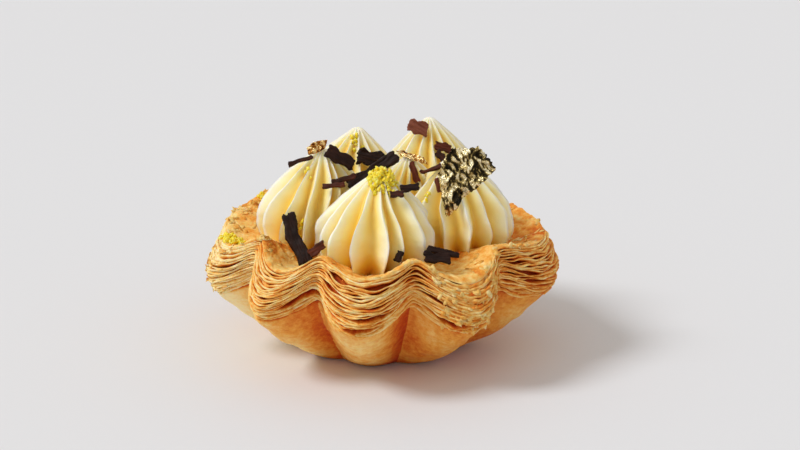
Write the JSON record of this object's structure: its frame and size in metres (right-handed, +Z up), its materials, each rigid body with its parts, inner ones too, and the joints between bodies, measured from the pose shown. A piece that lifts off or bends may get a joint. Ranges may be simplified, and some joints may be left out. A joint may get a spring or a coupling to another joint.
{
  "type": "lemon tart",
  "caption": "Small lemon tart: a scalloped, layered puff pastry shell with piped lemon cream kisses, dark chocolate shavings, lemon zest and crumpled gold leaf.",
  "frame": {"origin": "middle of the flat base, on the surface the tart stands on", "axes": "+Z up, -Y to the front of the tart, +X to its right seen from the front"},
  "size_m": [0.0807, 0.0801, 0.0503],
  "materials": {
    "pastry": "baked puff pastry, flaky and matte with a faint butter sheen",
    "lemon_cream": "smooth piped cream, soft satin sheen",
    "dark_chocolate": "shaved dark chocolate, fibrous and satin",
    "gold_leaf": "crumpled edible gold leaf, bright"
  },
  "bodies": {
    "root": {"pastry_shell": "pastry", "cream_front": "lemon_cream", "cream_left": "lemon_cream", "cream_right": "lemon_cream", "cream_back_left": "lemon_cream", "cream_back_right": "lemon_cream", "cream_centre": "lemon_cream", "shaving_front_left": "dark_chocolate", "shaving_left_tip": "dark_chocolate", "slab_left": "dark_chocolate", "slab_back": "dark_chocolate", "curl_middle": "dark_chocolate", "stick_middle_upper": "dark_chocolate", "stick_middle_lower": "dark_chocolate", "flake_back_right": "dark_chocolate", "flake_right_upper": "dark_chocolate", "flake_right_lower": "dark_chocolate", "strip_centre_steep": "dark_chocolate", "strip_centre_long": "dark_chocolate", "stick_right": "dark_chocolate", "flake_gap": "dark_chocolate", "flake_front_tip": "dark_chocolate", "stick_right_low": "dark_chocolate", "slab_right_low": "dark_chocolate", "bit_front": "dark_chocolate", "flake_gap_left": "dark_chocolate", "gold_leaf_right": "gold_leaf", "gold_leaf_left": "gold_leaf", "gold_leaf_centre": "gold_leaf"}
  },
  "joints": []
}
